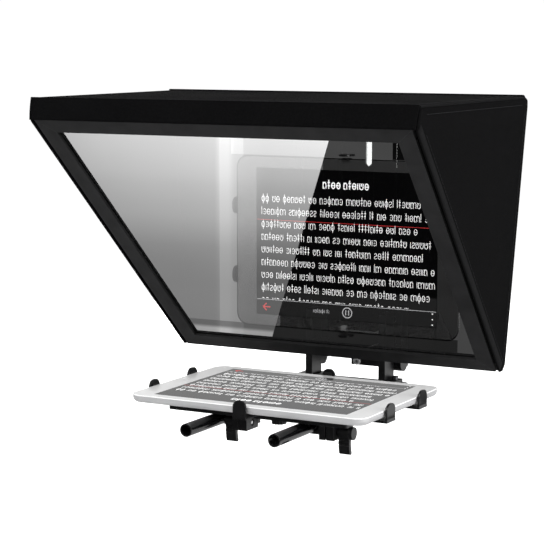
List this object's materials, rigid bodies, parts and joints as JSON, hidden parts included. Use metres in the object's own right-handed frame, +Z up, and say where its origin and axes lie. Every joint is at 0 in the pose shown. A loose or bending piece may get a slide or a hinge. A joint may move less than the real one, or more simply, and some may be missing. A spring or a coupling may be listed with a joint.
{
  "type": "teleprompter",
  "caption": "Tablet teleprompter: sliding tray with claws under a 45-degree beam splitter in a fabric hood, on two rods with a camera riser and tripod block.",
  "frame": {"origin": "mouth of the quarter-inch tripod hole under the base block", "axes": "+X right as seen from the talent's side looking at the camera, +Y back towards the camera, +Z up"},
  "size_m": [0.3824, 0.3682, 0.3146],
  "materials": {
    "rod_black": "gloss black anodised tube",
    "anodised_black": "satin black anodised aluminium",
    "frame_grey": "satin dark grey anodised extrusion",
    "screw_steel": "blackened steel",
    "chrome_steel": "bright plated steel",
    "brass": "turned brass",
    "black_plastic": "moulded glass-filled nylon, semi-gloss",
    "nylon": "self-lubricating nylon",
    "rubber_black": "soft rubber",
    "hook_tape": "hook-and-loop tape",
    "hood_fabric": "stiffened black woven nylon",
    "beam_splitter": "half-silvered beam splitter",
    "tablet_shell": "fine blasted aluminium",
    "tablet_border": "white border under cover glass",
    "tablet_screen": "display under cover glass",
    "button_white": "white button"
  },
  "bodies": {
    "base": {"rod_left": "rod_black", "rod_right": "rod_black", "base_block": "anodised_black", "tripod_bush": "brass", "post_left": "anodised_black", "post_right": "anodised_black", "upright_left": "anodised_black", "upright_right": "anodised_black", "base_screws": "screw_steel", "camera_stage": "anodised_black", "guide_block": "anodised_black", "riser_lock_screws": "chrome_steel", "tilt_shaft": "screw_steel"},
    "camera_riser": {"riser_platform": "anodised_black", "riser_pins": "chrome_steel"},
    "screw_carrier": {"camera_screw_washer": "screw_steel"},
    "camera_screw": {"camera_screw": "screw_steel"},
    "tilt_knob": {"tilt_knob": "black_plastic"},
    "mirror": {"frame_rail_top": "frame_grey", "frame_rail_bottom": "frame_grey", "frame_rail_left": "frame_grey", "frame_rail_right": "frame_grey", "beam_splitter_glass": "beam_splitter", "glass_gasket": "rubber_black", "glass_clips": "anodised_black", "corner_plates": "anodised_black", "frame_screws": "screw_steel", "hinge_lugs": "anodised_black", "hook_strips": "hook_tape"},
    "hood": {"hood_side_left": "hood_fabric", "hood_side_right": "hood_fabric", "hood_top": "hood_fabric", "hood_fascia": "hood_fabric", "rear_sleeve": "hood_fabric", "sleeve_back": "hood_fabric"},
    "lens_flap_left": {"lens_flap_left": "hood_fabric"},
    "lens_flap_right": {"lens_flap_right": "hood_fabric"},
    "tray": {"tray_beam_front": "anodised_black", "tray_beam_rear": "anodised_black", "tray_spine": "anodised_black", "tray_screws": "screw_steel", "clamp_block_left": "black_plastic", "clamp_block_right": "black_plastic", "rod_glides": "nylon", "arm_keepers": "anodised_black", "tray_rest_pads": "rubber_black"},
    "clamp_lever_left": {"clamp_lever_left": "black_plastic"},
    "clamp_lever_right": {"clamp_lever_right": "black_plastic"},
    "claw_left": {"claw_left": "black_plastic"},
    "claw_right": {"claw_right": "black_plastic"},
    "claw_front": {"claw_front": "black_plastic"},
    "claw_back": {"claw_back": "black_plastic"},
    "lock_knob_left": {"lock_knob_left": "black_plastic"},
    "lock_knob_right": {"lock_knob_right": "black_plastic"},
    "lock_knob_front": {"lock_knob_front": "black_plastic"},
    "lock_knob_back": {"lock_knob_back": "black_plastic"},
    "tablet": {"tablet_body": "tablet_shell", "tablet_bezel": "tablet_border", "tablet_display": "tablet_screen"},
    "home_button": {"home_button": "button_white"}
  },
  "joints": [
    {"name": "riser_height", "type": "slide", "parent": "base", "child": "camera_riser", "axis": [0, 0, 1], "range_m": [0, 0.03]},
    {"name": "camera_screw_slide", "type": "slide", "parent": "camera_riser", "child": "screw_carrier", "axis": [0, 1, 0], "range_m": [-0.006, 0.014]},
    {"name": "camera_screw_turn", "type": "hinge", "parent": "screw_carrier", "child": "camera_screw", "pos_m": [0, 0.09, 0.0625], "axis": [0, 0, 1], "continuous": true},
    {"name": "tilt_knob_turn", "type": "hinge", "parent": "base", "child": "tilt_knob", "pos_m": [0.052, 0.0115, 0.054], "axis": [1, 0, 0], "continuous": true},
    {"name": "mirror_tilt", "type": "hinge", "parent": "base", "child": "mirror", "pos_m": [0, 0.0115, 0.054], "axis": [1, 0, 0], "range_deg": [-5, 5]},
    {"name": "hood_pull_off", "type": "slide", "parent": "mirror", "child": "hood", "axis": [0, 0.7071, 0.7071], "range_m": [0, 0.06]},
    {"name": "lens_flap_left_turn", "type": "hinge", "parent": "hood", "child": "lens_flap_left", "pos_m": [-0.02945, 0.05355, 0.187], "axis": [0, 0, -1], "range_deg": [0, 70]},
    {"name": "lens_flap_right_turn", "type": "hinge", "parent": "hood", "child": "lens_flap_right", "pos_m": [0.02945, 0.05355, 0.187], "axis": [0, 0, 1], "range_deg": [0, 70]},
    {"name": "tray_slide", "type": "slide", "parent": "base", "child": "tray", "axis": [0, 1, 0], "range_m": [-0.02, 0.008]},
    {"name": "clamp_lever_left_turn", "type": "hinge", "parent": "tray", "child": "clamp_lever_left", "pos_m": [-0.03, -0.172, 0.0118], "axis": [-1, 0, 0], "range_deg": [0, 90]},
    {"name": "clamp_lever_right_turn", "type": "hinge", "parent": "tray", "child": "clamp_lever_right", "pos_m": [0.085, -0.172, 0.0118], "axis": [-1, 0, 0], "range_deg": [0, 90]},
    {"name": "claw_left_slide", "type": "slide", "parent": "tray", "child": "claw_left", "axis": [-1, 0, 0], "range_m": [0, 0.02]},
    {"name": "claw_right_slide", "type": "slide", "parent": "tray", "child": "claw_right", "axis": [1, 0, 0], "range_m": [0, 0.02]},
    {"name": "claw_front_slide", "type": "slide", "parent": "tray", "child": "claw_front", "axis": [0, -1, 0], "range_m": [0, 0.02]},
    {"name": "claw_back_slide", "type": "slide", "parent": "tray", "child": "claw_back", "axis": [0, 1, 0], "range_m": [0, 0.02]},
    {"name": "lock_knob_left_turn", "type": "hinge", "parent": "tray", "child": "lock_knob_left", "pos_m": [-0.062, -0.088, 0.014], "axis": [0, 0, 1], "continuous": true},
    {"name": "lock_knob_right_turn", "type": "hinge", "parent": "tray", "child": "lock_knob_right", "pos_m": [0.062, -0.088, 0.014], "axis": [0, 0, 1], "continuous": true},
    {"name": "lock_knob_front_turn", "type": "hinge", "parent": "tray", "child": "lock_knob_front", "pos_m": [0, -0.137, 0.01], "axis": [0, 0, 1], "continuous": true},
    {"name": "lock_knob_back_turn", "type": "hinge", "parent": "tray", "child": "lock_knob_back", "pos_m": [0, -0.083, 0.01], "axis": [0, 0, 1], "continuous": true},
    {"name": "tablet_lift", "type": "slide", "parent": "tray", "child": "tablet", "axis": [0, 0, 1], "range_m": [0, 0.015]},
    {"name": "home_button_press", "type": "slide", "parent": "tablet", "child": "home_button", "axis": [0, 0, -1], "range_m": [0, 0.0004], "stiffness_N_per_m": 900, "springref_m": -0.0006}
  ]
}
